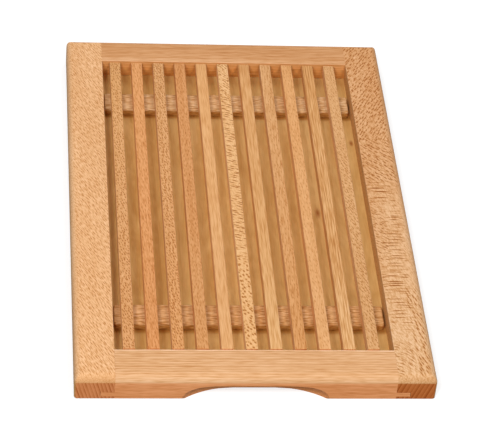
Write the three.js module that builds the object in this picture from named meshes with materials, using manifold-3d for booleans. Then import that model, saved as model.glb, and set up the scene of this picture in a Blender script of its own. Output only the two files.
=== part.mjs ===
// Bread board in oiled beech: a grooved frame round a plywood floor, and a slatted grid that lies loose
// in the frame and lifts out, so that the crumbs under it can be tipped away.
// Millimetres. +X across the board to the right, +Y along it away from the user, +Z up.
// The origin is the middle of the underside.

import * as THREE from "three";
import { mergeVertices } from "three/addons/utils/BufferGeometryUtils.js";
import Module from "manifold-3d";

// Board and frame members
const boardLength = 420;
const boardWidth = 275;
const stileWidth = 30.5;
const railWidth = 30.5;

// Outer edges, moulded after the frame is glued up
const topRoundOver = 6.5;
const cornerRadius = 2.5;
const footChamfer = 1.25;

// Plywood floor, the groove that holds it, and the rail tongues that fill the groove at its ends
const lipThickness = 3.5;
const panelThickness = 3.75;
const panelTopPlay = 0.25;
const panelEdgePlay = 1;
const grooveDepth = 11;
const tongueEndGap = 0.3;

// Finger hollow under the outer edge of each rail, left by a hollow-moulding cutter that plunges in,
// runs straight along the rail and comes out again, so that both ends run out in arcs
const coveDepth = 13;
const coveHeight = 14.25;
const coveCutterRadius = 68;
const coveStraightLength = 32;

// Slats of the grid
const slatCount = 11;
const slatWidth = 9.25;
const slatThickness = 9.25;
const slatArris = 0.5;
const slatTopDrop = 0.5;
const gridPlayAlong = 3;

// Battens under the slats
const battenWidth = 22.5;
const battenThickness = 6;
const battenCornerRadius = 3;
const battenTopRound = 1.5;
const frontBattenInset = 47.5;
const backBattenInset = 43;
const gridPlayAcross = 2.5;
const gridLeftGap = 1;
const firstSlatMargin = 5.5;
const lastSlatMargin = 9.25;

// Steel brads, driven up through the battens into the slats
const bradShankDiameter = 1.4;
const bradHeadDiameter = 2.8;
const bradHeadThickness = 0.7;
const bradHeadSink = 0.3;
const bradPointLength = 1.6;
const bradCover = 2;
const bradHoleClearance = 0.3;

// Working values
const cutOverrun = 2;
const weldTolerance = 1e-4;
const roundOverSegments = 8;
const cornerSegments = 4;
const battenRoundSegments = 4;
const coveSegments = 10;
const cutterSegments = 144;
const bradSegments = 10;

// Sizes that follow from the ones above
const openingWidth = boardWidth - 2 * stileWidth;
const openingLength = boardLength - 2 * railWidth;
const panelTop = lipThickness + panelThickness;
const grooveTop = panelTop + panelTopPlay;
const battenTop = panelTop + battenThickness;
const slatTop = battenTop + slatThickness;
const frameThickness = slatTop + slatTopDrop;
const slatLength = openingLength - gridPlayAlong;
const battenLength = openingWidth - gridPlayAcross;
const battenCentreX = (gridLeftGap - (gridPlayAcross - gridLeftGap)) / 2;
const firstSlatX = battenCentreX - battenLength / 2 + firstSlatMargin + slatWidth / 2;
const lastSlatX = battenCentreX + battenLength / 2 - lastSlatMargin - slatWidth / 2;
const slatPitch = (lastSlatX - firstSlatX) / (slatCount - 1);
const frontBattenY = frontBattenInset - slatLength / 2;
const backBattenY = slatLength / 2 - backBattenInset;
const bradHoleRadius = bradShankDiameter / 2 + bradHoleClearance;
const bradSeat = bradHeadSink + bradHeadThickness;
const bradTip = battenThickness + slatThickness - bradCover;

const oiledBeech = (color) => new THREE.MeshStandardMaterial({ color, roughness: 0.55, metalness: 0 });
const stileMaterial = oiledBeech("#e2b080");
const railMaterial = oiledBeech("#dca873");
const paleSlatMaterial = oiledBeech("#e3b67d");
const pinkSlatMaterial = oiledBeech("#dc9a68");
const battenMaterial = oiledBeech("#d3a075");
const plywoodMaterial = new THREE.MeshStandardMaterial({ color: "#b07c45", roughness: 0.6, metalness: 0 });
const steelMaterial = new THREE.MeshStandardMaterial({ color: "#a9a9a6", roughness: 0.35, metalness: 1 });

const wasm = await Module();
wasm.setup();

// A closed three.js geometry as a solid that can be joined and cut. Triangles that have shrunk to a line,
// such as those at the axis of a turned shape, are left out.
function solidFrom(geometry) {
  const bare = geometry.index ? geometry.toNonIndexed() : geometry.clone();
  bare.deleteAttribute("normal");
  bare.deleteAttribute("uv");
  const welded = mergeVertices(bare, weldTolerance);
  const corners = welded.index.array;
  const kept = [];
  for (let i = 0; i < corners.length; i += 3) {
    const [a, b, c] = corners.slice(i, i + 3);
    if (a !== b && b !== c && c !== a) kept.push(a, b, c);
  }
  return new wasm.Manifold(
    new wasm.Mesh({
      numProp: 3,
      vertProperties: welded.attributes.position.array,
      triVerts: new Uint32Array(kept),
    }),
  );
}

// A solid back as three.js geometry
function geometryFrom(solid) {
  const { numProp, vertProperties, triVerts } = solid.getMesh();
  const positions = [];
  for (let i = 0; i < vertProperties.length; i += numProp) {
    positions.push(...vertProperties.subarray(i, i + 3));
  }
  const geometry = new THREE.BufferGeometry();
  geometry.setAttribute("position", new THREE.Float32BufferAttribute(positions, 3));
  geometry.setIndex(new THREE.BufferAttribute(triVerts, 1));
  geometry.computeVertexNormals();
  return geometry;
}

// A box between two opposite corners
function block([x0, y0, z0], [x1, y1, z1]) {
  const box = new THREE.BoxGeometry(x1 - x0, y1 - y0, z1 - z0);
  return solidFrom(box.translate((x0 + x1) / 2, (y0 + y1) / 2, (z0 + z1) / 2));
}

// A section drawn in X and Z, carried along Y and centred on the origin
function alongY(section, length, curveSegments) {
  const bar = new THREE.ExtrudeGeometry(section, { depth: length, bevelEnabled: false, curveSegments });
  return bar.translate(0, 0, -length / 2).rotateX(Math.PI / 2);
}

// A rectangle with rounded corners, centred on the origin
function roundedRectangle(width, height, radius) {
  const x = width / 2 - radius;
  const y = height / 2 - radius;
  const shape = new THREE.Shape();
  shape.absarc(x, y, radius, 0, Math.PI / 2);
  shape.absarc(-x, y, radius, Math.PI / 2, Math.PI);
  shape.absarc(-x, -y, radius, Math.PI, 1.5 * Math.PI);
  shape.absarc(x, -y, radius, 1.5 * Math.PI, 2 * Math.PI);
  return shape;
}

// Section of the glued-up frame: chamfered feet, upright sides and quarter-round shoulders
function mouldedSection(width) {
  const half = width / 2;
  const shoulder = frameThickness - topRoundOver;
  const shape = new THREE.Shape();
  shape.moveTo(footChamfer - half, 0);
  shape.lineTo(half - footChamfer, 0);
  shape.lineTo(half, footChamfer);
  shape.lineTo(half, shoulder);
  shape.absarc(half - topRoundOver, shoulder, topRoundOver, 0, Math.PI / 2);
  shape.absarc(topRoundOver - half, shoulder, topRoundOver, Math.PI / 2, Math.PI);
  shape.lineTo(-half, footChamfer);
  return shape;
}

// Outer form that all four frame members share: the moulded section seen from both sides, inside a plan
// with rounded corners, so that the round-overs meet in a mitre at each corner
function frameEnvelope() {
  const plan = new THREE.ExtrudeGeometry(roundedRectangle(boardWidth, boardLength, cornerRadius), {
    depth: frameThickness,
    bevelEnabled: false,
    curveSegments: cornerSegments,
  });
  const lengthways = alongY(mouldedSection(boardWidth), boardLength, roundOverSegments);
  const crossways = alongY(mouldedSection(boardLength), boardWidth, roundOverSegments).rotateZ(Math.PI / 2);
  return solidFrom(plan).intersect(solidFrom(lengthways)).intersect(solidFrom(crossways));
}

const envelope = frameEnvelope();

// Stile on the left: full length, with the floor's groove open at both ends
function stileGeometry() {
  const outer = -boardWidth / 2;
  const inner = -openingWidth / 2;
  const ends = boardLength / 2;
  const blank = block([outer, -ends, 0], [inner, ends, frameThickness]);
  const groove = block(
    [inner - grooveDepth, -ends - cutOverrun, lipThickness],
    [inner + cutOverrun, ends + cutOverrun, grooveTop],
  );
  return geometryFrom(blank.intersect(envelope).subtract(groove));
}

// Half profile of the hollow-moulding cutter, from its spindle out: a quarter ellipse that stands on
// the work's underside
function cutterProfile() {
  const crownRadius = coveCutterRadius - coveDepth;
  const points = [new THREE.Vector2(0, -cutOverrun), new THREE.Vector2(coveCutterRadius, -cutOverrun)];
  for (let i = 0; i <= coveSegments; i++) {
    const angle = ((Math.PI / 2) * i) / coveSegments;
    points.push(new THREE.Vector2(crownRadius + coveDepth * Math.cos(angle), coveHeight * Math.sin(angle)));
  }
  points.push(new THREE.Vector2(0, coveHeight));
  return points;
}

// The space that the cutter sweeps: its turned form where it plunges and where it comes out, joined by
// its profile carried straight between them
function coveSweep() {
  const profile = cutterProfile();
  const turned = () => new THREE.LatheGeometry(profile, cutterSegments).rotateX(Math.PI / 2);
  const reach = coveStraightLength / 2;
  const straight = new THREE.ExtrudeGeometry(new THREE.Shape(profile), {
    depth: coveStraightLength,
    bevelEnabled: false,
  });
  straight.translate(0, 0, -reach).rotateX(Math.PI / 2).rotateZ(Math.PI / 2);
  const plunge = solidFrom(turned().translate(-reach, 0, 0));
  const exit = solidFrom(turned().translate(reach, 0, 0));
  return plunge.add(exit).add(solidFrom(straight));
}

// Rail at the front: between the stiles, with a tongue at each end in their groove, the floor's groove
// along its inner edge and the finger hollow under its outer edge
function railGeometry() {
  const outer = -boardLength / 2;
  const inner = -openingLength / 2;
  const shoulder = openingWidth / 2;
  const tongueEnd = shoulder + grooveDepth - tongueEndGap;
  const blank = block([-shoulder, outer, 0], [shoulder, inner, frameThickness]);
  const tongues = block([-tongueEnd, outer, lipThickness], [tongueEnd, inner, grooveTop]);
  const groove = block(
    [-tongueEnd - cutOverrun, inner - grooveDepth, lipThickness],
    [tongueEnd + cutOverrun, inner + cutOverrun, grooveTop],
  );
  const cove = coveSweep().translate([0, outer - (coveCutterRadius - coveDepth), 0]);
  return geometryFrom(blank.intersect(envelope).add(tongues).subtract(groove).subtract(cove));
}

// Plywood floor, loose in the groove by its play on all four edges
function panelGeometry() {
  const reach = 2 * (grooveDepth - panelEdgePlay);
  return new THREE.BoxGeometry(openingWidth + reach, openingLength + reach, panelThickness);
}

// Clearance hole for one brad, with a counterbore in the batten's underside that its head seats in
function bradHole() {
  const headRadius = bradHeadDiameter / 2 + bradHoleClearance;
  const depth = bradTip + bradHoleClearance;
  const profile = [
    new THREE.Vector2(0, -cutOverrun),
    new THREE.Vector2(headRadius, -cutOverrun),
    new THREE.Vector2(headRadius, bradSeat),
    new THREE.Vector2(bradHoleRadius, bradSeat),
    new THREE.Vector2(bradHoleRadius, depth - bradPointLength),
    new THREE.Vector2(0, depth),
  ];
  return solidFrom(new THREE.LatheGeometry(profile, bradSegments).rotateX(Math.PI / 2));
}

// Brad, head down, with the head's underside at bradHeadSink
function bradGeometry() {
  const shankRadius = bradShankDiameter / 2;
  const profile = [
    new THREE.Vector2(0, bradHeadSink),
    new THREE.Vector2(bradHeadDiameter / 2, bradHeadSink),
    new THREE.Vector2(bradHeadDiameter / 2, bradSeat),
    new THREE.Vector2(shankRadius, bradSeat),
    new THREE.Vector2(shankRadius, bradTip - bradPointLength),
    new THREE.Vector2(0, bradTip),
  ];
  const turned = new THREE.LatheGeometry(profile, bradSegments).rotateX(Math.PI / 2);
  return geometryFrom(solidFrom(turned));
}

const slatPlaces = Array.from({ length: slatCount }, (_, i) => firstSlatX + i * slatPitch);

// Batten lying on the floor, rounded over along its top edges and bored for one brad under each slat. The
// bar is made too tall, so that the round-over of its lower end falls below the underside and is cut off.
function battenGeometry() {
  const bar = new THREE.ExtrudeGeometry(roundedRectangle(battenLength, battenWidth, battenCornerRadius), {
    depth: battenThickness,
    bevelThickness: battenTopRound,
    bevelSize: battenTopRound,
    bevelOffset: -battenTopRound,
    bevelSegments: battenRoundSegments,
    curveSegments: cornerSegments,
  });
  const bounds = block(
    [-boardWidth / 2, -battenWidth, 0],
    [boardWidth / 2, battenWidth, battenThickness + cutOverrun],
  );
  let batten = solidFrom(bar.translate(battenCentreX, 0, -battenTopRound)).intersect(bounds);
  for (const x of slatPlaces) batten = batten.subtract(bradHole().translate([x, 0, 0]));
  return geometryFrom(batten);
}

// Square strip with its long arrises taken off, bored from below over both battens
function slatGeometry() {
  const half = slatWidth / 2;
  const section = new THREE.Shape();
  section.moveTo(slatArris - half, 0);
  section.lineTo(half - slatArris, 0);
  section.lineTo(half, slatArris);
  section.lineTo(half, slatThickness - slatArris);
  section.lineTo(half - slatArris, slatThickness);
  section.lineTo(slatArris - half, slatThickness);
  section.lineTo(-half, slatThickness - slatArris);
  section.lineTo(-half, slatArris);
  let slat = solidFrom(alongY(section, slatLength));
  for (const y of [frontBattenY, backBattenY]) {
    slat = slat.subtract(bradHole().translate([0, y, -battenThickness]));
  }
  return geometryFrom(slat);
}

function named(name, geometry, material, x = 0, y = 0, z = 0) {
  const mesh = new THREE.Mesh(geometry, material);
  mesh.name = name;
  mesh.position.set(x, y, z);
  return mesh;
}

// The fixed tray: frame and floor. The right stile and the back rail are the left and the front one
// turned half round.
function trayGroup() {
  const tray = new THREE.Group();
  const stile = stileGeometry();
  const rail = railGeometry();
  const rightStile = named("right_stile", stile, stileMaterial);
  const backRail = named("back_rail", rail, railMaterial);
  rightStile.rotation.z = Math.PI;
  backRail.rotation.z = Math.PI;
  tray.add(named("left_stile", stile, stileMaterial), rightStile);
  tray.add(named("front_rail", rail, railMaterial), backRail);
  tray.add(named("floor_panel", panelGeometry(), plywoodMaterial, 0, 0, lipThickness + panelThickness / 2));
  return tray;
}

// The loose grid, resting on the floor
function gridGroup() {
  const grid = new THREE.Group();
  grid.position.z = panelTop;
  const batten = battenGeometry();
  const slat = slatGeometry();
  const brad = bradGeometry();
  grid.add(named("front_batten", batten, battenMaterial, 0, frontBattenY));
  grid.add(named("back_batten", batten, battenMaterial, 0, backBattenY));
  slatPlaces.forEach((x, i) => {
    const number = String(i + 1).padStart(2, "0");
    const material = i % 2 ? pinkSlatMaterial : paleSlatMaterial;
    grid.add(named(`slat_${number}`, slat, material, x, 0, battenThickness));
    grid.add(named(`front_brad_${number}`, brad, steelMaterial, x, frontBattenY));
    grid.add(named(`back_brad_${number}`, brad, steelMaterial, x, backBattenY));
  });
  return grid;
}

const breadBoard = new THREE.Group();
breadBoard.add(trayGroup(), gridGroup());

export default breadBoard;
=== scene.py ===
"""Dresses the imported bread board: its beech frame, plywood floor and loose slatted grid, and a studio."""

import math
from collections import namedtuple

import bmesh
import bpy
import numpy as np
from bpy.props import FloatProperty, FloatVectorProperty, PointerProperty
from mathutils import Matrix, Vector
from mathutils.geometry import tessellate_polygon


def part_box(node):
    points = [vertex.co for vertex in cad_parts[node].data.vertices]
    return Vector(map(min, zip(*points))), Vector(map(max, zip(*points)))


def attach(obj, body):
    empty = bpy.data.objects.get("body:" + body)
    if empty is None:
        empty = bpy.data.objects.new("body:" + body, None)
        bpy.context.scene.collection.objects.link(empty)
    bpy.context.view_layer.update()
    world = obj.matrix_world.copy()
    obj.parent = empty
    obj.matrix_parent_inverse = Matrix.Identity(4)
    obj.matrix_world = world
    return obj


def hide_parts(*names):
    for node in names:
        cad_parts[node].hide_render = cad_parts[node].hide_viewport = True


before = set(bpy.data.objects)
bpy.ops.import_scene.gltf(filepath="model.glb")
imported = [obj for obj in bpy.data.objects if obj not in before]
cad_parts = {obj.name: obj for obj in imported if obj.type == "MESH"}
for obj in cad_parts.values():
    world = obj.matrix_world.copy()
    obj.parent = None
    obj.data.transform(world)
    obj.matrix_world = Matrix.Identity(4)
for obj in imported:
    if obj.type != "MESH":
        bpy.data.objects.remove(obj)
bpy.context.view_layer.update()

bl_info = {
    "name": "Bread board",
    "version": (1, 0, 0),
    "blender": (4, 5, 0),
    "location": "3D View > Sidebar > Bread board",
    "description": "Beech bread board with a loose slatted grid over a crumb tray",
    "category": "Object",
}

MM = 0.001

SLATS = sorted(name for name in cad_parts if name.startswith("slat_"))
BRADS = sorted(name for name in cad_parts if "_brad_" in name)

# Steps round each quarter turn of a curve, and sides round each brad
ROUND_STEPS = 12
CORNER_STEPS = 6
ARRIS_STEPS = 4
COVE_STEPS = 18
BRAD_SIDES = 24
# Lengths that a slat is cut into, so that its quads aren't long and thin
SLAT_LENGTHS = 12
# Faces that meet more steeply than this keep a crisp edge
CRISP_EDGE = math.radians(28)

# How glossy the oiled woods are, where 0.5 is a closed film: the oil has sunk in and leaves open pores
GLOSS = 0.12
# Refractive index of the oil
OIL_INDEX = 1.47

# The two colour sockets of a Mix node, and the setting of a Map Range node that eases both ends
MIX_A, MIX_B = 6, 7
SMOOTH = {"interpolation_type": "SMOOTHSTEP"}

# One kind of ray fleck on a board: a fleck's width and length, how far apart flecks lie across and along
# them, and how far they wander, all in mm, how far they lean off the grain in degrees, how dark they are,
# the middle and half-length in mm of the stretch of the board that shows them, and the arch that they droop
# in: its crown's place across the board, its droop at a millimetre from the crown and its reach to both
# sides, all in mm
Rays = namedtuple(
    "Rays", "width length across along wander lean depth middle reach arch", defaults=[(0, 0, 400)]
)

# What makes one beech board differ from another: its tone at its two ends, on its sides and on its end
# # grain, how dark its growth rings are, how far apart they lie in mm, how far they lean in the end of the
# # board in degrees, how far along the log in metres it was cut, its rays, the fine streaks of its face, and
# # its pale band, partly pale wood and partly a painted highlight along the opening's arris. The streaks
# have
# # a width and a length in mm, a lean in degrees and a depth. The band has its near side's distance from the
# # board's middle and its width, in mm, and a paleness
Board = namedtuple(
    "Board", "front back side end rings gap lean place rays streaks pale",
    defaults=[(), (0.7, 4.5, 4, 1.1), (0, 0, 0)],
)

LEFT_STILE_RAYS = (Rays(0.75, 4.8, 2, 5, 0.6, 27, 1.9, 0, 400),)
RIGHT_STILE_RAYS = (
    Rays(1.1, 5, 3, 5, 1.2, 60, 2.6, -192, 20, (112, 0.04, 8)),
    Rays(1.2, 5, 3, 5, 0.8, 20, 3, -160, 50, (130, 0, 4)),
    Rays(1.1, 12, 3.4, 14, 0.5, 90, 3.2, -133, 20, (118, 0.012, 7)),
    Rays(1.4, 13, 3.2, 14, 0.8, 90, 4.2, -100, 12, (118, 0.006, 8)),
    Rays(1.1, 12, 3.8, 13, 0.6, 90, 3.5, -64, 24, (121, 0.01, 7)),
    Rays(1, 4, 2.8, 4, 1.2, 55, 2.8, -45, 34, (111, 0, 5)),
    Rays(1.1, 9, 2.9, 10, 0.6, 90, 3.4, -27, 12, (125, 0.01, 5)),
    Rays(1.5, 14, 3.1, 15, 0.8, 90, 4.2, 6, 10, (118, 0.004, 9)),
    Rays(1.3, 4.4, 3, 4.6, 1.5, 45, 3, 45, 28),
    Rays(1.2, 4.4, 2.6, 4.7, 1, -30, 2.8, 150, 76),
)
FINE_RAYS = (Rays(0.9, 2.6, 1.9, 3.1, 0.8, 18, 2.7, 0, 400),)
FAINT_RAYS = (Rays(0.8, 3.2, 2.6, 5, 0.8, 10, 1.3, 0, 400),)
STROKE_RAYS = (
    Rays(1, 3, 2.2, 3.4, 1, 25, 2, -60, 130),
    Rays(0.9, 2.6, 2, 3.1, 0.8, 15, 1.4, 140, 70),
)
LACE_RAYS = (
    Rays(1.6, 2.8, 2.9, 4.2, 1, 30, 3.2, -130, 55),
    Rays(1.1, 5.5, 2.8, 6, 1, 70, 3.8, 30, 105),
    Rays(1.1, 3.4, 2.3, 3.6, 0.8, 40, 3.2, 165, 35),
)

# Stained places in the plywood: place across and along the board, width and length, in mm
KNOTS = ((66.5, -2, 6, 16), (104, 89, 5, 10))
# The plywood's broad band of darker wood: where its middle lies across the board, how far that strays, how
# far from it the band is full and how far off it has faded out, all in mm, and how dark it is
BROAD_BAND = (-73, 40, 8, 28, 0.6)
# Painted shade under each batten and along its feet, where it stands on the plywood: how far past the
# # batten it is full and how far off it has faded out, in mm, and how dark it is
BATTEN_FOOT_SHADE = (0.3, 4.5, 2.2)

# How much paler a slat's sides are than its top: painted light that lifts the shade on the sides
SIDES_PAINTED_PALER = 1.15

# The slats from the left: for each the tone of its two ends, then how dark its rings are, their gap and
# lean, its place in the log, its rays and its streaks, as for a board
SLAT_BOARDS = (
    ("#D9A270", "#DDA973", 0.38, 2.6, 50, 0, FINE_RAYS, (0.7, 4, 8, 0.8)),
    ("#D79660", "#E3A56E", 0.38, 3, 70, 0.5, FAINT_RAYS, (0.9, 9, 6, 1.2)),
    ("#DBA26D", "#DFAC7A", 0.90, 2.6, 24, 1.1, FINE_RAYS, (0.7, 4, 12, 0.9)),
    ("#D39A65", "#D89A64", 0.52, 2.2, 65, 1.7, FAINT_RAYS, (0.8, 5, 0, 1)),
    ("#DFAB77", "#E3AD76", 0.52, 2.4, 30, 2.3, (), (0.7, 14, 2, 1)),
    ("#E5B47F", "#EBBC88", 0.15, 4, 20, 2.9, LACE_RAYS, (0.8, 3, 10, 0.8)),
    ("#DFAF7A", "#DCA66F", 0.68, 2.4, 40, 3.4, (), (0.8, 16, 1, 1.2)),
    ("#D39962", "#DFAC79", 0.45, 3.2, 75, 4.1, FAINT_RAYS, (0.9, 12, -3, 1.2)),
    ("#DFAA76", "#E1A870", 0.30, 2.9, 60, 4.7, FAINT_RAYS, (0.7, 7, 0, 0.8)),
    ("#E4B684", "#DCA76F", 1.80, 2, 10, 5.2, (), (0.7, 16, 0, 1.6)),
    ("#D7A776", "#DFAD7A", 0.38, 2.7, 55, 5.8, STROKE_RAYS, (0.7, 4, 12, 0.9)),
)

# The lamps: width, height and place, in metres
LAMPS = {
    "left_lamp": (0.5, 1.2, (-0.99, -1.88, 2.2)),
    "right_lamp": (0.45, 1.2, (0.7, -2.0, 2.2)),
    "back_lamp": (1.6, 0.9, (0, 1.5, 1.5)),
}
# Half the side of the studio's floor, and how far it lies under the board, in metres
FLOOR_REACH, FLOOR_DROP = 1.2, 0.1 * MM
# The floor's light where no shadow falls, a little over white so that it is white all over
FULL_WHITE = 1.1


def linear(code):
    """The linear colour of an sRGB hex code."""
    parts = (int(code[i : i + 2], 16) / 255 for i in (1, 3, 5))
    return tuple(c / 12.92 if c <= 0.04045 else ((c + 0.055) / 1.055) ** 2.4 for c in parts)


def number(name, description, default, **limits):
    """A number that a user can set."""
    return FloatProperty(name=name, description=description, default=default, **limits)


def length(name, description, millimetres):
    """A size that a user can set, in scene units."""
    return number(name, description, millimetres * MM, min=0, unit="LENGTH", precision=5)


def degrees(name, description, default):
    """An angle that a user can set."""
    return number(name, description, math.radians(default), subtype="ANGLE")


def colour(name, description, code):
    """A colour that a user can set."""
    return FloatVectorProperty(
        name=name, description=description, default=linear(code), min=0, max=1, subtype="COLOR"
    )


class BreadBoardSizes(bpy.types.PropertyGroup):
    """Edges, grooves and hollows of the board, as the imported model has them"""

    round_over: length("Round-over", "Radius along the frame's outer top edge", 6.5)
    corner_radius: length("Corner radius", "Radius of the frame's corners in plan", 2.5)
    foot_chamfer: length("Foot chamfer", "Chamfer along the frame's outer bottom edge", 1.25)
    opening_arris: length("Opening arris", "Radius sanded along the opening's top edge", 0.5)
    joint_arris: length("Joint arris", "Radius left on a stile's edge where a rail meets it", 0.25)
    foot_arris: length("Foot arris", "Chamfer along the members' inner bottom edges", 0.4)
    groove_depth: length("Groove depth", "Depth of the groove that holds the floor", 11)
    groove_play: length("Groove play", "Height left free over the floor in its groove", 0.25)
    cove_depth: length("Hollow depth", "Depth of the finger hollow at the underside", 13)
    cove_height: length("Hollow height", "Height of the finger hollow", 14.25)
    cutter_radius: length("Cutter radius", "Radius of the hollow's cutter", 68)
    cove_straight: length("Hollow's straight", "Length that the hollow runs between its run-outs", 32)
    slat_arris: length("Slat arris", "Radius along the slats' edges", 0.5)
    slat_end_arris: length("Slat end arris", "Radius round the slats' ends", 0.35)
    batten_corner: length("Batten corner", "Radius of the battens' corners in plan", 3)
    batten_round: length("Batten round-over", "Radius along the battens' top edge", 1.5)
    brad_shank: length("Brad diameter", "Diameter of the brads' wire", 1.4)
    brad_head: length("Brad head", "Thickness of the brads' heads", 0.7)
    brad_point: length("Brad point", "Length of the brads' points", 1.6)
    brad_recess: length("Brad recess", "Room round each brad's head in the batten", 0.12)


class BreadBoardFinish(bpy.types.PropertyGroup):
    """Colours of the oiled woods and the wire"""

    left_stile: colour("Left stile", "Quarter-sawn beech, pale", "#EBBA8B")
    right_stile: colour("Right stile", "Quarter-sawn beech, lacy", "#E3B88D")
    right_stile_back: colour("Right stile, back", "The same board's darker end", "#DBA676")
    front_rail: colour("Front rail", "Straight-grained beech", "#E4B589")
    back_rail: colour("Back rail", "Straight-grained beech, redder", "#D7A273")
    # The side tones of rails and stiles are partly the flat-sawn sides' own redder colour and partly painted
    # shade
    front_side_shaded: colour("Front rail's sides", "Flat-sawn and redder", "#E8A06B")
    back_side: colour("Back rail's sides", "Flat-sawn and redder, darker", "#CC8945")
    stile_side_shaded: colour("Stile sides", "The stiles' flat-sawn sides", "#CE9D62")
    left_end: colour("Left end grain", "The left stile's ends, dark where they drank the oil", "#D78C5A")
    right_end: colour("Right end grain", "The right stile's ends, darker", "#BE6F38")
    front_batten: colour("Front batten", "Straight-grained beech, darker", "#C79560")
    back_batten: colour("Back batten", "Straight-grained beech", "#CBA06F")
    # Painted shade: the battens' sides are darkened for the shade that the slats cast on them
    batten_side_shaded: colour("Batten sides", "The battens' sawn sides, darker", "#BB8543")
    stain: colour("Dark wood", "What rays and rings do to the tone: they multiply it", "#E8D9C3")
    plywood: colour("Plywood", "Rotary-cut face veneer", "#E1B46E")
    knot: colour("Knots", "Small stained places in the face veneer", "#A4561C")
    steel: colour("Brad wire", "Bright drawn steel", "#B4B4B0")
    floor: colour("Floor", "Floor of the studio", "#FFFFFF")


class BreadBoardStudio(bpy.types.PropertyGroup):
    """Camera and lamps"""

    lens: number("Lens", "Focal length in millimetres", 167.29, min=1)
    camera: FloatVectorProperty(
        name="Camera", description="Place of the camera", default=(-0.1922, -1.4373, 1.2529), unit="LENGTH"
    )
    pitch: degrees("Pitch", "How far the camera looks down", 40.741)
    yaw: degrees("Yaw", "How far the camera looks right", 8.042)
    roll: degrees("Roll", "Turn of the camera about its line of sight", 5.826)
    left_lamp: number("Left lamp", "Power of the soft lamp at front left", 56, unit="POWER")
    right_lamp: number("Right lamp", "Power of the soft lamp at front right", 37, unit="POWER")
    back_lamp: number("Back lamp", "Power of the soft lamp behind", 16, unit="POWER")
    sky: number("Sky", "Strength of the light from all round", 0.16, min=0)
    bounce: number("Bounce", "Share of light that the floor throws back", 0.2, min=0, max=1)
    shadow: number("Shadow", "How dark the board's shadow on the white floor may get", 0.45, min=0, max=1)


def quarter(radius, steps):
    """Inset and rise of a quarter round: the radius times one minus the cosine, and times the sine, of an
    angle that goes from nothing to a right angle in even steps."""
    angle = np.linspace(0, math.pi / 2, steps + 1)
    return radius * (1 - np.cos(angle)), radius * np.sin(angle)


def skin(rings):
    """Quads between neighbouring rings of a grid, ring by point, each ring closed on itself."""
    count, points = rings.shape[:2]
    near = np.arange(count - 1)[:, None] * points + np.arange(points)
    beside = np.roll(near, -1, axis=1)
    return np.stack([near, beside, beside + points, near + points], axis=-1).reshape(-1, 4).tolist()


def capped(rings):
    """Vertices and faces of a grid of rings, with one flat face over the first and over the last."""
    count, points = rings.shape[:2]
    first = list(range(points))
    last = list(range((count - 1) * points, count * points))
    return rings.reshape(-1, 3), [*skin(rings), first[::-1], last]


def piece(name, shape, material, body, replaced, grain=1):
    """A closed mesh that stands for CAD nodes. Its attribute "cut" holds, at each corner of each face, how
    squarely the face looks along the grain, across it and up: the normal's parts, the first two unsigned.
    grain is the axis along which the grain runs, 0 for X or 1 for Y."""
    vertices, faces = shape
    mesh = bpy.data.meshes.new(name)
    mesh.from_pydata(np.asarray(vertices, float).tolist(), [], faces)
    shell = bmesh.new()
    shell.from_mesh(mesh)
    bmesh.ops.recalc_face_normals(shell, faces=shell.faces)
    shell.to_mesh(mesh)
    shell.free()
    mesh.shade_smooth()
    mesh.set_sharp_from_angle(angle=CRISP_EDGE)
    normals = np.empty(len(mesh.loops) * 3)
    mesh.corner_normals.foreach_get("vector", normals)
    ways = normals.reshape(-1, 3)[:, [grain, 1 - grain, 2]]
    ways[:, :2] = np.abs(ways[:, :2])
    mesh.attributes.new("cut", "FLOAT_VECTOR", "CORNER").data.foreach_set("vector", ways.ravel())
    mesh.materials.append(material)
    made = bpy.data.objects.new(name, mesh)
    bpy.context.collection.objects.link(made)
    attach(made, body)
    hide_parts(*replaced)


def inner_wall(sizes, width, foot):
    """Points of a frame member's inner side, from under its upper arris down: the groove that holds the
    plywood floor, with its play, and the chamfer at the foot."""
    low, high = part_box("floor_panel")
    lip, deep, ease = high.z + sizes.groove_play, width - sizes.groove_depth, sizes.foot_arris
    groove = [(width, lip), (deep, lip), (deep, low.z), (width, low.z)]
    return [*groove, (width, foot + ease), (width - ease, 0)]


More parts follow.
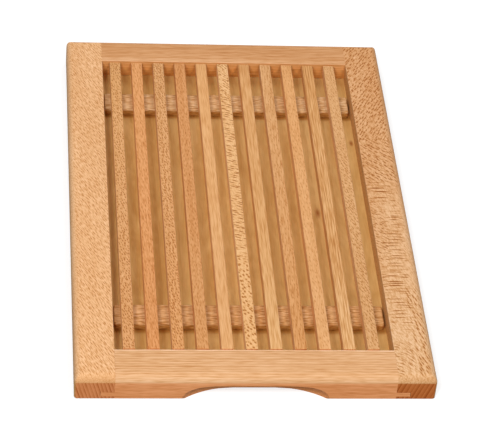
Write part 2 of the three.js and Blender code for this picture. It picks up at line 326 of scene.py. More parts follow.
def stile_rings(sizes, low, high, side):
    """Rings of one stile, a section in X and Z at each station along Y. The outer edge is the frame's
    moulding: its height at a point depends only on the point's distance from the plan's outline, a
    rectangle with rounded corners, so it turns each corner smoothly and meets the end's moulding in a
    mitre. side is 1 where the outer edge is at the low X and -1 where it is at the high X."""
    width, top = high.x - low.x, high.z - low.z
    reach, bend, foot = sizes.round_over, sizes.corner_radius, sizes.foot_chamfer
    inset = np.union1d(quarter(reach, ROUND_STEPS)[0], quarter(bend, CORNER_STEPS)[0])
    ease = sizes.opening_arris

    # Distance of each station from the nearer end, and the moulding's height and the foot's there
    length_y = high.y - low.y
    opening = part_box("front_rail")[1].y - low.y
    near = np.union1d(inset, [foot, opening, opening + ease, length_y / 4])
    station = np.concatenate([near, [length_y / 2], length_y - near[::-1]])
    gap = np.minimum(station, length_y - station)[:, None]

    def rise(inset_there):
        """Height of the moulding at this inset."""
        return top - reach + np.sqrt(reach**2 - np.clip(reach - inset_there, 0, reach) ** 2)

    ceiling = rise(gap)
    ground = np.clip(foot - gap, 0, None)
    # Near an end the section is cut short where it meets the end's moulding in the mitre, or in the round of
    # the plan's corner, and the points past that line are spread evenly along the rest of the edge
    corner = np.maximum(bend, gap)

    def contour(offset):
        """Distance from the outer face of the line that runs at this inset round the plan's outline."""
        turn = np.clip(bend - offset, 0, None)
        spent = np.clip(bend - gap, 0, None)
        return np.maximum(bend, offset) - np.sqrt(np.clip(turn**2 - spent**2, 0, None))

    low_inset = np.linspace(foot, 0, 3)
    low_in = low_inset <= gap
    foot_x = np.where(low_in, contour(low_inset), corner + (low_inset - gap) / 2)
    foot_z = np.where(low_in, foot - low_inset, ground)
    top_in = inset <= gap
    spread = (inset - gap) * (reach - corner) / np.maximum(reach - gap, reach / 100)
    top_x = np.where(top_in, contour(inset), corner + spread)
    top_z = np.where(top_in, rise(inset), ceiling)

    # Inner edge: eased along the opening, all but sharp where the rails butt against it
    arris = np.where(gap > opening + ease / 2, ease, sizes.joint_arris)
    out, up = quarter(1, ARRIS_STEPS)
    arris_x = width - arris * out[::-1]
    arris_z = ceiling - arris * (1 - up[::-1])
    wall = np.array(inner_wall(sizes, width, foot))
    wall_x = np.broadcast_to(wall[:, 0], (len(station), len(wall)))
    wall_z = np.maximum(wall[:, 1], ground)

    across = np.concatenate([foot_x, top_x, arris_x, wall_x], axis=1)
    upward = np.concatenate([foot_z, top_z, arris_z, wall_z], axis=1)
    x = low.x + across if side > 0 else high.x - across
    y = np.broadcast_to(low.y + station[:, None], x.shape)
    return np.stack([x, y, low.z + upward], axis=-1)


def rail_mesh(sizes, low, high, shoulder, side):
    """Vertices and faces of one rail, a section in Y and Z at each station along X. The finger hollow takes
    from the section's lower outer corner what the cutter swept: at each height the cutter is a circle about
    an upright axis, of the crown's radius plus the depth times the root of one minus the height's share
    squared, and the hollow's depth at a station is how far that circle reaches past the outer face. Each
    end has the tongue that fills the stile's groove. side is 1 where the outer face is at the low Y."""
    width, top = high.y - low.y, high.z - low.z
    reach, foot = sizes.round_over, sizes.foot_chamfer
    crown = sizes.cutter_radius - sizes.cove_depth
    half = sizes.cove_straight / 2

    turn = np.linspace(0, math.pi / 2, COVE_STEPS + 1)
    run = np.sqrt((crown + sizes.cove_depth * np.cos(turn)) ** 2 - crown**2)
    plain = np.linspace(half + run[0], shoulder, 5)[1:]
    right = np.concatenate([np.linspace(0, half, 4)[:-1], half + run[::-1], plain])
    station = np.concatenate([-right[:0:-1], right])[:, None]
    past = np.clip(np.abs(station) - half, 0, None)
    share = np.clip((np.hypot(crown, past) - crown) / sizes.cove_depth, 0, 1)
    hollow_top = sizes.cove_height * np.sqrt(1 - share**2)
    edge = np.maximum(hollow_top, foot)
    z_low = edge * np.sin(turn)
    level = np.clip(1 - (z_low / sizes.cove_height) ** 2, 0, None)
    cutter = crown + sizes.cove_depth * np.sqrt(level)
    bite = np.sqrt(np.clip(cutter**2 - past**2, 0, None)) - crown
    y_low = np.maximum(np.maximum(bite, foot - z_low), 0)
    y_low[:, -1] = 0

    wall = inner_wall(sizes, width, 0)
    (_, high_lip), (_, low_lip) = wall[1:3]
    tall = top - reach
    # Between the hollow and the round-over the face has two points, at the tongue's height at the ends
    face_z = edge + (np.array([low_lip, high_lip]) - foot) * (tall - edge) / (tall - foot)
    inset, rise = quarter(reach, ROUND_STEPS)
    out, up = quarter(sizes.opening_arris, ARRIS_STEPS)
    arris = zip(width - out[::-1], top - sizes.opening_arris + up[::-1])
    fixed = np.array([*zip(inset, tall + rise), *arris, *wall])
    count = len(station)
    across = np.concatenate([y_low, np.zeros((count, 2)), np.tile(fixed[:, 0], (count, 1))], axis=1)
    upward = np.concatenate([z_low, face_z, np.tile(fixed[:, 1], (count, 1))], axis=1)
    y = low.y + across if side > 0 else high.y - across
    rings = np.stack([np.broadcast_to(station, y.shape), y, low.z + upward], axis=-1)

    points = rings.shape[1]
    below, above = COVE_STEPS + 1, COVE_STEPS + 2
    roof, sole = points - 5, points - 4
    vertices, faces = rings.reshape(-1, 3), skin(rings)
    # Each end face is two parts, over and under the tongue, which runs on from these four points
    for first, way in ((0, -1), ((count - 1) * points, 1)):
        root = first + np.array([below, above, roof, sole])
        tip = len(vertices) + np.arange(4)
        ends = vertices[root]
        ends[:, 0] = way * high.x
        vertices = np.concatenate([vertices, ends])
        faces += [(first + np.arange(above, roof + 1)).tolist()]
        faces += [(first + np.concatenate([np.arange(sole, points), np.arange(below + 1)])).tolist()]
        faces += [[root[i], root[(i + 1) % 4], tip[(i + 1) % 4], tip[i]] for i in range(4)]
        faces += [tip.tolist()]
    return vertices, faces


def rounded(wide, deep, radius, steps):
    """Points of a rectangle with rounded corners about the origin: quarter circles of this radius, in even
    steps, about centres that lie the radius inside the half sizes wide and deep."""
    angle = (np.arange(4)[:, None] + np.linspace(0, 1, steps + 1)).ravel() * math.pi / 2
    right, far = (np.repeat(signs, steps + 1) for signs in ((1, -1, -1, 1), (1, 1, -1, -1)))
    return right * (wide - radius) + radius * np.cos(angle), far * (deep - radius) + radius * np.sin(angle)


def slat_rings(sizes, low, high):
    """Rings of one slat: a rectangle with rounded corners, carried along Y and drawn in by a quarter round
    at both ends."""
    centre, half = (low + high) / 2, (high - low) / 2
    inset, rise = quarter(sizes.slat_end_arris, ARRIS_STEPS)
    drawn = sizes.slat_end_arris - rise
    straight = half.y - sizes.slat_end_arris
    along = np.linspace(-straight, straight, SLAT_LENGTHS + 1)[1:-1]
    station = np.concatenate([inset - half.y, along, half.y - inset[::-1]])[:, None]
    drawn = np.concatenate([drawn, np.zeros(len(along)), drawn[::-1]])[:, None]
    x, z = rounded(half.x - drawn, half.z - drawn, sizes.slat_arris, ARRIS_STEPS)
    y = np.broadcast_to(centre.y + station, x.shape)
    return np.stack([centre.x + x, y, centre.z + z], axis=-1)


def batten_mesh(sizes, low, high, brad_boxes):
    """Vertices and faces of one batten: an outline with rounded corners, carried upwards along a profile
    that is eased at the foot and rounded over at the top. The underside is open round each brad's head."""
    centre, half = (low + high) / 2, (high - low) / 2
    inset, rise = quarter(sizes.batten_round, ARRIS_STEPS * 2)
    ease = sizes.foot_arris
    profile = np.array([(ease, 0), (0, ease), *zip(inset, high.z - low.z - sizes.batten_round + rise)])
    drawn = profile[:, :1]
    x, y = rounded(half.x - drawn, half.y - drawn, sizes.batten_corner - drawn, CORNER_STEPS)
    z = np.broadcast_to(low.z + profile[:, 1:], x.shape)
    rings = np.stack([centre.x + x, centre.y + y, z], axis=-1)
    points = rings.shape[1]
    vertices = rings.reshape(-1, 3)
    faces = [*skin(rings), list(range(len(vertices) - points, len(vertices)))]

    # Round holes in the underside, each closed at the depth of the brad head's upper face
    turns = np.linspace(0, 2 * math.pi, BRAD_SIDES, endpoint=False)
    loops = [np.arange(points)]
    for brad_low, brad_high in brad_boxes:
        middle = (brad_low + brad_high) / 2
        radius = (brad_high.x - brad_low.x) / 2 + sizes.brad_recess
        seat = brad_low.z + sizes.brad_head
        circle = np.stack([middle.x + radius * np.cos(turns), middle.y + radius * np.sin(turns)], axis=-1)
        walls = np.stack([np.insert(circle, 2, height, axis=1) for height in (low.z, seat)])
        start = len(vertices)
        vertices = np.concatenate([vertices, walls.reshape(-1, 3)])
        faces += (np.array(skin(walls)) + start).tolist()
        faces += [list(range(start + BRAD_SIDES, start + 2 * BRAD_SIDES))]
        loops.append(np.arange(start, start + BRAD_SIDES))
    order = np.concatenate(loops)
    outline = [[Vector(v) for v in vertices[loop]] for loop in loops]
    faces += [[int(order[i]) for i in triangle] for triangle in tessellate_polygon(outline)]
    return vertices, faces


def brad_rings(sizes, low, high):
    """Rings of one brad: a profile of radius against height, turned about an upright axis. The head's rim is
    eased, and the point is a long taper."""
    head = (high.x - low.x) / 2
    shank = sizes.brad_shank / 2
    ease = sizes.brad_head / 5
    shoulder = low.z + sizes.brad_head
    taper = high.z - sizes.brad_point
    profile = np.array([
        (head - ease, low.z), (head, low.z + ease), (head, shoulder - ease), (head - ease, shoulder),
        (shank + ease, shoulder), (shank, shoulder + ease), (shank, taper), (shank / 2, high.z - ease * 2),
        (shank / 10, high.z),
    ])
    turns = np.linspace(0, 2 * math.pi, BRAD_SIDES, endpoint=False)
    radius, z = profile[:, :1], profile[:, 1:]
    x = (low.x + high.x) / 2 + radius * np.cos(turns)
    y = (low.y + high.y) / 2 + radius * np.sin(turns)
    return np.stack([x, y, np.broadcast_to(z, x.shape)], axis=-1)


def add(tree, kind, inputs, **settings):
    """Adds a shader node with its settings. kind is its type's name after ShaderNode. inputs maps a socket
    to a value, to a socket that feeds it, or to a node whose first working output feeds it."""
    made = tree.nodes.new(f"ShaderNode{kind}")
    for name, value in settings.items():
        setattr(made, name, value)
    for socket, value in inputs.items():
        if isinstance(value, bpy.types.Node):
            value = next(output for output in value.outputs if output.enabled)
        if isinstance(value, bpy.types.NodeSocket):
            tree.links.new(value, made.inputs[socket])
        else:
            made.inputs[socket].default_value = value
    return made


def blank(name):
    """An empty node material and its tree."""
    material = bpy.data.materials.new(name)
    material.use_nodes = True
    material.node_tree.nodes.clear()
    return material, material.node_tree


def rgba(tone):
    """A colour with full opacity."""
    return (*tone[:3], 1)


def feature(*size):
    """The scale at which a Mapping node of the texture type makes this size in mm one unit."""
    return Vector(size) * MM


def patches(tree, place, size, detail, lean=0, distortion=0):
    """The place measured in patches of this size in mm, which lean by this many degrees, and how dark the
    patch there is."""
    turned = {"Vector": place, "Rotation": (0, 0, math.radians(lean)), "Scale": feature(*size)}
    cell = add(tree, "Mapping", turned, vector_type="TEXTURE")
    look = {"Vector": cell, "Scale": 1, "Detail": detail, "Distortion": distortion}
    return cell, add(tree, "TexNoise", look).outputs["Fac"]


def strip(tree, place, middle, full, gone, depth=1, **fade):
    """How strong a straight strip is: depth as far as full from its middle, and nothing from gone on."""
    offset = add(tree, "Math", {0: place, 1: middle}, operation="SUBTRACT")
    far = add(tree, "Math", {0: offset}, operation="ABSOLUTE")
    return add(tree, "MapRange", {"Value": far, "From Min": gone, "From Max": full, "To Max": depth}, **fade)


def darkened(tree, tone, dark, stain):
    """The tone of wood that takes the stain's share of the light once for each unit of darkness."""
    taken = add(tree, "Gamma", {"Color": rgba(stain), "Gamma": dark})
    return add(tree, "Mix", {0: 1, MIX_A: tone, MIX_B: taken}, data_type="RGBA", blend_type="MULTIPLY")


def seen(tree):
    """1 on rays that show a thing to the camera, straight, mirrored or through glass, and 0 on others."""
    rays = add(tree, "LightPath", {}).outputs
    shown = rays["Is Camera Ray"]
    for way in ("Is Glossy Ray", "Is Transmission Ray"):
        shown = add(tree, "Math", {0: shown, 1: rays[way]}, operation="MAXIMUM")
    return shown


def ray_flecks(tree, place, across, along, rays):
    """How much ray flecks darken the wood. Each cell of a stretched and swayed Voronoi pattern holds one
    fleck, an ellipse about the cell's own point, and the cell's random value makes it dark or pale. Rows of
    flecks droop to both sides of an arch's crown with the square of the distance from it, and end at the
    arch's two sides."""
    crown, droop, span = rays.arch
    aside = add(tree, "Math", {0: across, 1: crown * MM}, operation="SUBTRACT")
    squared = add(tree, "Math", {0: aside, 1: aside}, operation="MULTIPLY")
    lift = add(tree, "Math", {0: squared, 1: droop / MM, 2: along}, operation="MULTIPLY_ADD")
    arched = add(tree, "CombineXYZ", {"X": aside, "Y": lift})
    # Half a cell aside, so that a row of flecks across the board has its middle at the crown
    turned = {
        "Vector": arched,
        "Location": (-rays.along / 2 * MM, -place, 0),
        "Rotation": (0, 0, math.radians(rays.lean)),
        "Scale": feature(rays.across, rays.along, rays.along),
    }
    cell = add(tree, "Mapping", turned, vector_type="TEXTURE")
    sway = add(tree, "TexNoise", {"Vector": cell, "Scale": 0.6, "Detail": 1}).outputs["Color"]
    wander = (rays.wander / rays.across, rays.wander / rays.along, 0)
    swayed = add(tree, "VectorMath", {0: sway, 1: wander, 2: cell}, operation="MULTIPLY_ADD")
    loose = {"Vector": swayed, "Scale": 1, "Randomness": 0.75}
    point = add(tree, "TexVoronoi", loose, voronoi_dimensions="2D").outputs
    offset = add(tree, "VectorMath", {0: swayed, 1: point["Position"]}, operation="SUBTRACT")
    size = (2 * rays.across / rays.width, 2 * rays.along / rays.length, 0)
    radii = add(tree, "VectorMath", {0: offset, 1: size}, operation="MULTIPLY")
    radius = add(tree, "VectorMath", {0: radii}, operation="LENGTH")
    # A fleck is full within a fifth of its ellipse and has faded out a little past its edge
    spindle = add(tree, "MapRange", {"Value": radius, "From Min": 1.4, "From Max": 0.2}, **SMOOTH)
    # Most flecks are dark, and the others a little pale
    shade = {"Value": point["Color"], "From Max": 0.45, "To Min": -rays.depth / 3, "To Max": rays.depth}
    depth = add(tree, "MapRange", shade)
    fleck = add(tree, "Math", {0: spindle, 1: depth}, operation="MULTIPLY")

    # Only on its own stretch of the board, whose ends stray and fade
    stray, fade, reach = 30 * MM, 8 * MM, rays.reach * MM
    ragged = add(tree, "Math", {0: sway, 1: stray, 2: along}, operation="MULTIPLY_ADD")
    here = strip(tree, ragged, rays.middle * MM + stray / 2, reach - fade, reach + fade)
    # And only between the arch's two sides, which stray and fade too
    side = add(tree, "Math", {0: sway, 1: 6 * MM, 2: span * MM}, operation="MULTIPLY_ADD")
    away = add(tree, "Math", {0: aside}, operation="ABSOLUTE")
    past = add(tree, "Math", {0: away, 1: side}, operation="SUBTRACT")
    under = add(tree, "MapRange", {"Value": past, "From Min": 0, "From Max": -2 * MM, "To Max": here})
    return add(tree, "Math", {0: fleck, 1: under}, operation="MULTIPLY")


def growth_rings(tree, log, gap, lean):
    """How dark the growth rings' late wood is. It darkens across each ring and ends sharply. The bands lean
    in the board's end and wander along it, and some rings are stronger than others."""
    turned = {"Vector": log, "Rotation": (0, math.radians(lean), 0), "Scale": feature(gap, 150, gap * 5)}
    ring = add(tree, "Mapping", turned, vector_type="TEXTURE")
    # At this scale a Wave node draws one band to a unit
    one_band = math.tau / 20
    wavy = {
        "Vector": ring, "Scale": one_band, "Distortion": 1.6, "Detail": 1, "Detail Scale": 0.8,
        "Detail Roughness": 0.5,
    }
    bands = add(tree, "TexWave", wavy, wave_type="BANDS", bands_direction="X", wave_profile="SAW")
    late = add(tree, "Math", {0: bands.outputs["Fac"], 1: 2}, operation="POWER")
    choice = add(tree, "TexNoise", {"Vector": ring, "Scale": 0.9, "Detail": 1}).outputs["Fac"]
    strong = add(tree, "MapRange", {"Value": choice, "From Min": 0.35, "From Max": 0.65, "To Min": 0.35})
    return add(tree, "Math", {0: late, 1: strong}, operation="MULTIPLY")


def beech(name, board, finish, grain):
    """Steamed beech, sawn, planed, sanded and oiled. It gives the eye a pale pinkish brown with fine streaks
    and thin ring lines, short leaning ray flecks on a face cut through the heart, sides in a tone of their
    own, redder with painted shade on the frame and battens and paler with painted light on the slats, and
    darker end grain with clear rings. grain is the axis along which the board's grain runs."""
    material, tree = blank(name)
    place = add(tree, "TexCoord", {}).outputs["Object"]
    cut = add(tree, "Attribute", {}, attribute_name="cut", attribute_type="GEOMETRY").outputs["Vector"]
    end_face, _, upper_face = add(tree, "SeparateXYZ", {0: cut}).outputs
    turn = (0, 0, 0) if grain == 1 else (0, 0, math.pi / 2)
    turned = add(tree, "Mapping", {"Vector": place, "Rotation": turn})
    across, along, _ = add(tree, "SeparateXYZ", {0: turned}).outputs
    # Each board comes from its own place in the log, up it and a little aside
    log = add(tree, "Mapping", {"Vector": turned, "Location": (board.place / 7, board.place, 0)})

    # How far a place is on a broad face, on a side or on an end
    broad = add(tree, "Math", {0: upper_face}, operation="ABSOLUTE")
    facing = add(tree, "MapRange", {"Value": broad, "From Min": 0.8, "From Max": 0.99}, **SMOOTH)
    on_side = add(tree, "MapRange", {"Value": upper_face, "From Min": 0.25, "From Max": 0}, **SMOOTH)
    end = {"Value": end_face, "From Min": 0.65, "From Max": 0.9, "To Max": on_side}
    on_end = add(tree, "MapRange", end, **SMOOTH)

    # From the tone of the front or left end to that of the other, unevenly, then those of sides and ends;
    # the side
    # # tone is partly painted shade, and painted light on the slats
    _, drift = patches(tree, log, (14, 80, 14), 2)
    progress = add(tree, "Math", {0: drift, 1: 0.25, 2: along}, operation="MULTIPLY_ADD")
    share = add(tree, "MapRange", {"Value": progress, "From Min": -0.05, "From Max": 0.3})
    tone = rgba(board.front)
    for part, other in ((share, board.back), (on_side, board.side), (on_end, board.end)):
        tone = add(tree, "Mix", {0: part, MIX_A: tone, MIX_B: rgba(other)}, data_type="RGBA")

    # Darkness: streaks, drawn wide enough to show, then clouds, rings and rays
    width, extent, lean, depth = board.streaks
    _, streak = patches(tree, log, (width, extent, width), 1, lean)
    flat = add(tree, "MapRange", {"Value": on_end, "To Min": depth, "To Max": depth / 4})
    level = add(tree, "MapRange", {"Value": streak, "From Min": 0.42, "From Max": 0.7, "To Max": flat})
    clouded = add(tree, "MapRange", {"Value": drift, "To Min": -0.4, "To Max": 0.4})
    dark = add(tree, "Math", {0: level, 1: clouded}, operation="ADD")
    late = growth_rings(tree, log, board.gap, board.lean)
    ringed = add(tree, "MapRange", {"Value": facing, "To Min": board.rings / 2, "To Max": board.rings})
    ringed = add(tree, "MapRange", {"Value": on_end, "To Min": ringed, "To Max": 3})
    dark = add(tree, "Math", {0: late, 1: ringed, 2: dark}, operation="MULTIPLY_ADD")
    # Where the round-over cuts the strands aslant, their ends have drunk some oil
    steep = add(tree, "MapRange", {"Value": upper_face, "From Max": 0.25, "To Max": 0.55})
    aslant = add(tree, "MapRange", {"Value": end_face, "From Min": 0.3, "From Max": 0.8, "To Max": steep})
    dark = add(tree, "Math", {0: dark, 1: aslant}, operation="ADD")
    # A lighter band at the edges nearest the opening: partly pale wood a few rings wide, partly a painted
    # # highlight along the opening's arris
    start, wide, pale_and_highlight = board.pale
    band_edge, fade = (start + wide) * MM, 0.6 * MM
    band = strip(tree, across, 0, band_edge, band_edge + fade, pale_and_highlight)
    dark = add(tree, "Math", {0: dark, 1: band}, operation="SUBTRACT")
    for rays in board.rays:
        flecks = ray_flecks(tree, board.place, across, along, rays)
        dark = add(tree, "Math", {0: flecks, 1: facing, 2: dark}, operation="MULTIPLY_ADD")

    # Dark strands lie a little lower and shine a little less
    relief = add(tree, "Math", {0: dark, 1: -1}, operation="MULTIPLY")
    bump = add(tree, "Bump", {"Height": relief, "Strength": 0.3, "Distance": 0.012 * MM})
    rough = add(tree, "MapRange", {"Value": dark, "From Min": -1, "To Min": 0.55, "To Max": 0.68})
    oiled = {
        "Base Color": darkened(tree, tone, dark, finish.stain), "Roughness": rough, "Normal": bump,
        "IOR": OIL_INDEX, "Specular IOR Level": GLOSS,
    }
    add(tree, "OutputMaterial", {"Surface": add(tree, "BsdfPrincipled", oiled)})
    return material


def birch_plywood(finish, battens):
    """Birch plywood, sanded and oiled, with face veneers peeled from the log. It gives the eye a soft tan
    with long cloudy streaks, one broad darker band, two small stained places, and painted shade in front of
    the battens and behind them. battens holds each batten's lowest and highest Y."""
    material, tree = blank("birch_plywood_oiled")
    place = add(tree, "TexCoord", {}).outputs["Object"]
    across, along, _ = add(tree, "SeparateXYZ", {0: place}).outputs
    cloud, drift = patches(tree, place, (15, 60, 15), 4, distortion=1.2)
    _, fibre = patches(tree, place, (1.2, 14, 1.2), 3)
    level = add(tree, "MapRange", {"Value": fibre, "To Min": -0.5, "To Max": 0.5})
    uneven = {"Value": drift, "From Min": 0.3, "From Max": 0.7, "To Min": -0.45, "To Max": 0.45}
    dark = add(tree, "Math", {0: level, 1: add(tree, "MapRange", uneven)}, operation="ADD")
    # The knife meets few rings, so their late wood lies in wide wavy bands, measured here in clouds
    late = growth_rings(tree, cloud, 0.55 / MM, 0)
    dark = add(tree, "Math", {0: late, 1: 0.5, 2: dark}, operation="MULTIPLY_ADD")
    # A broad band of darker wood, left of the middle, which wanders with the clouds
    middle, stray, full, gone = feature(*BROAD_BAND[:4])
    aside = add(tree, "Math", {0: drift, 1: stray, 2: across}, operation="MULTIPLY_ADD")
    strips = [strip(tree, aside, middle + stray / 2, full, gone, BROAD_BAND[4], **SMOOTH)]
    # Painted shade under the battens and along their feet, where they stand on the plywood
    full, gone = feature(*BATTEN_FOOT_SHADE[:2])
    for low, high in battens:
        half = (high - low) / 2
        strips.append(strip(tree, along, (low + high) / 2, half + full, half + gone, BATTEN_FOOT_SHADE[2]))
    for darker in strips:
        dark = add(tree, "Math", {0: dark, 1: darker}, operation="ADD")
    tone = darkened(tree, rgba(finish.plywood), dark, finish.stain)
    # The stained places are ellipses with ragged edges
    for x, y, width, height in KNOTS:
        spot = {"Vector": place, "Location": feature(x, y, 0), "Scale": feature(width / 2, height / 2, 1000)}
        offset = add(tree, "Mapping", spot, vector_type="TEXTURE")
        far = add(tree, "VectorMath", {0: offset}, operation="LENGTH")
        ragged = add(tree, "Math", {0: fibre, 1: 1.2, 2: far}, operation="MULTIPLY_ADD")
        inside = {"Value": ragged, "From Min": 1.7, "From Max": 0.6, "To Max": 0.85}
        stained = add(tree, "MapRange", inside, **SMOOTH)
        tone = add(tree, "Mix", {0: stained, MIX_A: tone, MIX_B: rgba(finish.knot)}, data_type="RGBA")
    oiled = {"Base Color": tone, "Roughness": 0.62, "IOR": OIL_INDEX, "Specular IOR Level": GLOSS}
    add(tree, "OutputMaterial", {"Surface": add(tree, "BsdfPrincipled", oiled)})
    return material


def drawn_steel(finish):
    """Bright steel wire, drawn and cut. It gives the eye a grey metal with fine scratches along the wire."""
    material, tree = blank("steel_wire_drawn")
    place = add(tree, "TexCoord", {}).outputs["Object"]
    _, scratch = patches(tree, place, (0.2, 0.2, 3), 2)
    rough = add(tree, "MapRange", {"Value": scratch, "To Min": 0.28, "To Max": 0.45})
    metal = {"Base Color": rgba(finish.steel), "Metallic": 1, "Roughness": rough}
    add(tree, "OutputMaterial", {"Surface": add(tree, "BsdfPrincipled", metal)})
    return material


def in_beech(name, board, finish, shape, body, grain=1):
    """One beech piece, in wood of its own."""
    wood = beech(f"beech_oiled_{name}", board, finish, grain)
    piece(f"{name}_dressed", shape, wood, body, [name], grain)


def chosen(context):
    """The board's sizes and colours."""
    return context.scene.bread_board_sizes, context.scene.bread_board_finish


class BREADBOARD_OT_stiles(bpy.types.Operator):
    """Make the two stiles of the frame"""

    bl_idname = "bread_board.stiles"
    bl_label = "Stiles"

    def execute(self, context):
        sizes, finish = chosen(context)
        # Their side tone is partly the sides' own colour and partly painted shade
        left = Board(
            finish.left_stile, finish.left_stile, finish.stile_side_shaded, finish.left_end, rings=0.15, gap=2.7,
            lean=-16, place=7.1, rays=LEFT_STILE_RAYS, streaks=(0.7, 4, 26, 1.1),
        )
        right = Board(
            finish.right_stile, finish.right_stile_back, finish.stile_side_shaded, finish.right_end, rings=0.15,
            gap=3.4, lean=18, place=8.3, rays=RIGHT_STILE_RAYS, streaks=(0.9, 3, 20, 1.2),
        )
        for name, side, board in (("left_stile", 1, left), ("right_stile", -1, right)):
            shape = capped(stile_rings(sizes, *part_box(name), side))
            in_beech(name, board, finish, shape, "tray")
        return {"FINISHED"}


class BREADBOARD_OT_rails(bpy.types.Operator):
    """Make the two rails, with their finger hollows and tongues"""

    bl_idname = "bread_board.rails"
    bl_label = "Rails"

    def execute(self, context):
        sizes, finish = chosen(context)
        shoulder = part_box("right_stile")[0].x
        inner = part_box("front_rail")[1].y / -MM
        streaks = (0.6, 12, 0, 0.95)
        # Their side tones are partly the flat-sawn sides' own colour and partly painted shade
        front = Board(
            finish.front_rail, finish.front_rail, finish.front_side_shaded, finish.left_end, rings=1.5, gap=2.2,
            # The pale band is partly pale wood and partly a painted highlight along the opening's arris
            lean=36, place=9.2, streaks=streaks, pale=(inner, 1.5, 0.7),
        )
        back = Board(
            finish.back_rail, finish.back_rail, finish.back_side, finish.left_end, rings=1.6, gap=1.8,
            lean=36, place=10.6, streaks=streaks, pale=(inner, 4.5, 0.5),
        )
        for name, side, board in (("front_rail", 1, front), ("back_rail", -1, back)):
            shape = rail_mesh(sizes, *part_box(name), shoulder, side)
            in_beech(name, board, finish, shape, "tray", grain=0)
        return {"FINISHED"}


class BREADBOARD_OT_floor(bpy.types.Operator):
    """Finish the plywood floor"""

    bl_idname = "bread_board.floor"
    bl_label = "Plywood floor"

    def execute(self, context):
        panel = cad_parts["floor_panel"]
        battens = [[corner.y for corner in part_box(f"{end}_batten")] for end in ("front", "back")]
        panel.data.materials.clear()
        panel.data.materials.append(birch_plywood(context.scene.bread_board_finish, battens))
        return {"FINISHED"}


class BREADBOARD_OT_slats(bpy.types.Operator):
    """Make the slats, each with its own tone and figure"""

    bl_idname = "bread_board.slats"
    bl_label = "Slats"

    def execute(self, context):
        sizes, finish = chosen(context)
        for name, (front, back, *figure) in zip(SLATS, SLAT_BOARDS, strict=True):
            # Painted light: each slat's sides are paler than its own tone
            side = [min(SIDES_PAINTED_PALER * part, 1) for part in linear(back)]
            board = Board(linear(front), linear(back), side, finish.left_end, *figure)
            shape = capped(slat_rings(sizes, *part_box(name)))
            in_beech(name, board, finish, shape, "grid")
        return {"FINISHED"}


class BREADBOARD_OT_battens(bpy.types.Operator):
    """Make the two battens under the slats"""

    bl_idname = "bread_board.battens"
    bl_label = "Battens"

    def execute(self, context):
        sizes, finish = chosen(context)
        for end, tone, place in (("front", finish.front_batten, 11.4), ("back", finish.back_batten, 12.9)):
            name = f"{end}_batten"
            # The battens' side tone is painted shade
            board = Board(
                tone, tone, finish.batten_side_shaded, finish.left_end, rings=-1.8, gap=1.6, lean=12, place=place,
                streaks=(0.8, 6, 0, 2.2),
            )
            heads = [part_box(brad) for brad in BRADS if brad.startswith(end)]
            shape = batten_mesh(sizes, *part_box(name), heads)
            in_beech(name, board, finish, shape, "grid", grain=0)
        return {"FINISHED"}


class BREADBOARD_OT_brads(bpy.types.Operator):
    """Make the steel brads that hold the slats to the battens"""

    bl_idname = "bread_board.brads"
    bl_label = "Brads"

    def execute(self, context):
        sizes, finish = chosen(context)
        steel = drawn_steel(finish)
        for name in BRADS:
            rings = brad_rings(sizes, *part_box(name))
            piece(f"{name}_dressed", capped(rings), steel, "grid", [name])
        return {"FINISHED"}


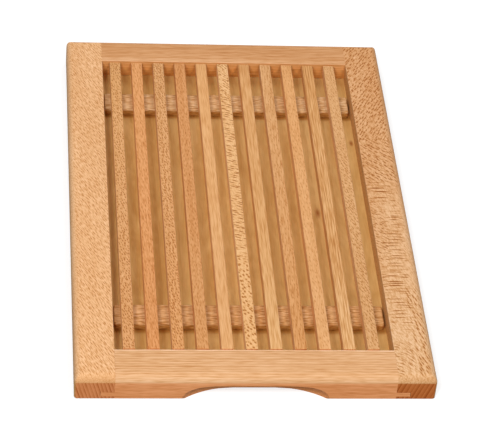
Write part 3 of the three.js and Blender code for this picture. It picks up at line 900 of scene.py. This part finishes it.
class BREADBOARD_OT_stage(bpy.types.Operator):
    """Make the floor of the studio, the lamps, the sky and the camera"""

    bl_idname = "bread_board.stage"
    bl_label = "Studio"

    def execute(self, context):
        scene = context.scene
        studio, finish = scene.bread_board_studio, scene.bread_board_finish
        self.floor(studio, finish)
        for name, (width, height, place) in LAMPS.items():
            self.lamp(name, getattr(studio, name), width, height, Vector(place))
        self.sky(scene, studio)
        self.camera(scene, studio)
        scene.view_settings.view_transform = "Standard"
        return {"FINISHED"}

    def floor(self, studio, finish):
        """A wide floor just under the board. It throws back little light, is seen as white, and keeps the
        board's shadow."""
        mesh = bpy.data.meshes.new("studio_floor")
        ways = ((-1, -1), (1, -1), (1, 1), (-1, 1))
        corners = [(x * FLOOR_REACH, y * FLOOR_REACH, -FLOOR_DROP) for x, y in ways]
        mesh.from_pydata(corners, [], [(0, 1, 2, 3)])
        material, tree = blank("studio_floor_matt")
        bounce = add(tree, "BsdfDiffuse", {"Color": rgba([studio.bounce] * 3)})
        paper = add(tree, "BsdfDiffuse", {"Color": rgba([studio.shadow] * 3)})
        glow = add(tree, "Emission", {"Color": rgba(finish.floor), "Strength": FULL_WHITE - studio.shadow})
        lit = add(tree, "AddShader", {0: paper, 1: glow})
        surface = add(tree, "MixShader", {0: seen(tree), 1: bounce, 2: lit})
        add(tree, "OutputMaterial", {"Surface": surface})
        mesh.materials.append(material)
        made = bpy.data.objects.new("studio_floor", mesh)
        bpy.context.collection.objects.link(made)

    def lamp(self, name, power, width, height, place):
        """A wide soft lamp that looks at the board."""
        data = bpy.data.lights.new(name, "AREA")
        data.shape = "RECTANGLE"
        data.size = width
        data.size_y = height
        data.energy = power
        made = bpy.data.objects.new(name, data)
        made.location = place
        made.rotation_mode = "QUATERNION"
        made.rotation_quaternion = (-place).to_track_quat("-Z", "Y")
        bpy.context.collection.objects.link(made)

    def sky(self, scene, studio):
        """An even sky that lights softly, and is white to the camera and in reflections."""
        world = bpy.data.worlds.new("studio_sky")
        scene.world = world
        world.use_nodes = True
        tree = world.node_tree
        tree.nodes.clear()
        strength = add(tree, "MapRange", {"Value": seen(tree), "To Min": studio.sky, "To Max": 1})
        light = add(tree, "Background", {"Color": (1, 1, 1, 1), "Strength": strength})
        add(tree, "OutputWorld", {"Surface": light})

    def camera(self, scene, studio):
        """The camera. It looks along forward, and roll turns the picture about that line."""
        data = bpy.data.cameras.new("camera")
        data.sensor_width = 36
        data.sensor_fit = "HORIZONTAL"
        data.lens = studio.lens
        pitch, yaw, roll = studio.pitch, studio.yaw, studio.roll
        level = math.cos(pitch)
        forward = Vector((math.sin(yaw) * level, math.cos(yaw) * level, -math.sin(pitch)))
        right = Vector((math.cos(yaw), -math.sin(yaw), 0))
        up = right.cross(forward)
        across = math.cos(roll) * right + math.sin(roll) * up
        upright = math.cos(roll) * up - math.sin(roll) * right
        turned = Matrix((across, upright, -forward)).transposed()
        made = bpy.data.objects.new("camera", data)
        made.matrix_world = Matrix.Translation(Vector(studio.camera)) @ turned.to_4x4()
        bpy.context.collection.objects.link(made)
        scene.camera = made


OPERATORS = (
    BREADBOARD_OT_stiles, BREADBOARD_OT_rails, BREADBOARD_OT_floor, BREADBOARD_OT_slats,
    BREADBOARD_OT_battens, BREADBOARD_OT_brads, BREADBOARD_OT_stage,
)
GROUPS = {
    "bread_board_sizes": BreadBoardSizes,
    "bread_board_finish": BreadBoardFinish,
    "bread_board_studio": BreadBoardStudio,
}


class BREADBOARD_PT_panel(bpy.types.Panel):
    """Lists the board's parts, and its sizes, colours and studio"""

    bl_idname = "BREADBOARD_PT_panel"
    bl_label = "Bread board"
    bl_space_type = "VIEW_3D"
    bl_region_type = "UI"
    bl_category = "Bread board"

    def draw(self, context):
        layout = self.layout
        for operator in OPERATORS:
            layout.operator(operator.bl_idname)
        for group, kind in GROUPS.items():
            box = layout.box()
            for name in kind.__annotations__:
                box.prop(getattr(context.scene, group), name)


CLASSES = (*GROUPS.values(), *OPERATORS, BREADBOARD_PT_panel)


def register():
    for cls in CLASSES:
        bpy.utils.register_class(cls)
    for name, group in GROUPS.items():
        setattr(bpy.types.Scene, name, PointerProperty(type=group))


def unregister():
    for name in GROUPS:
        delattr(bpy.types.Scene, name)
    for cls in reversed(CLASSES):
        bpy.utils.unregister_class(cls)


def main():
    """Makes the board and the studio."""
    register()
    for operator in OPERATORS:
        group, name = operator.bl_idname.split(".")
        getattr(getattr(bpy.ops, group), name)()


if __name__ == "__main__":
    main()
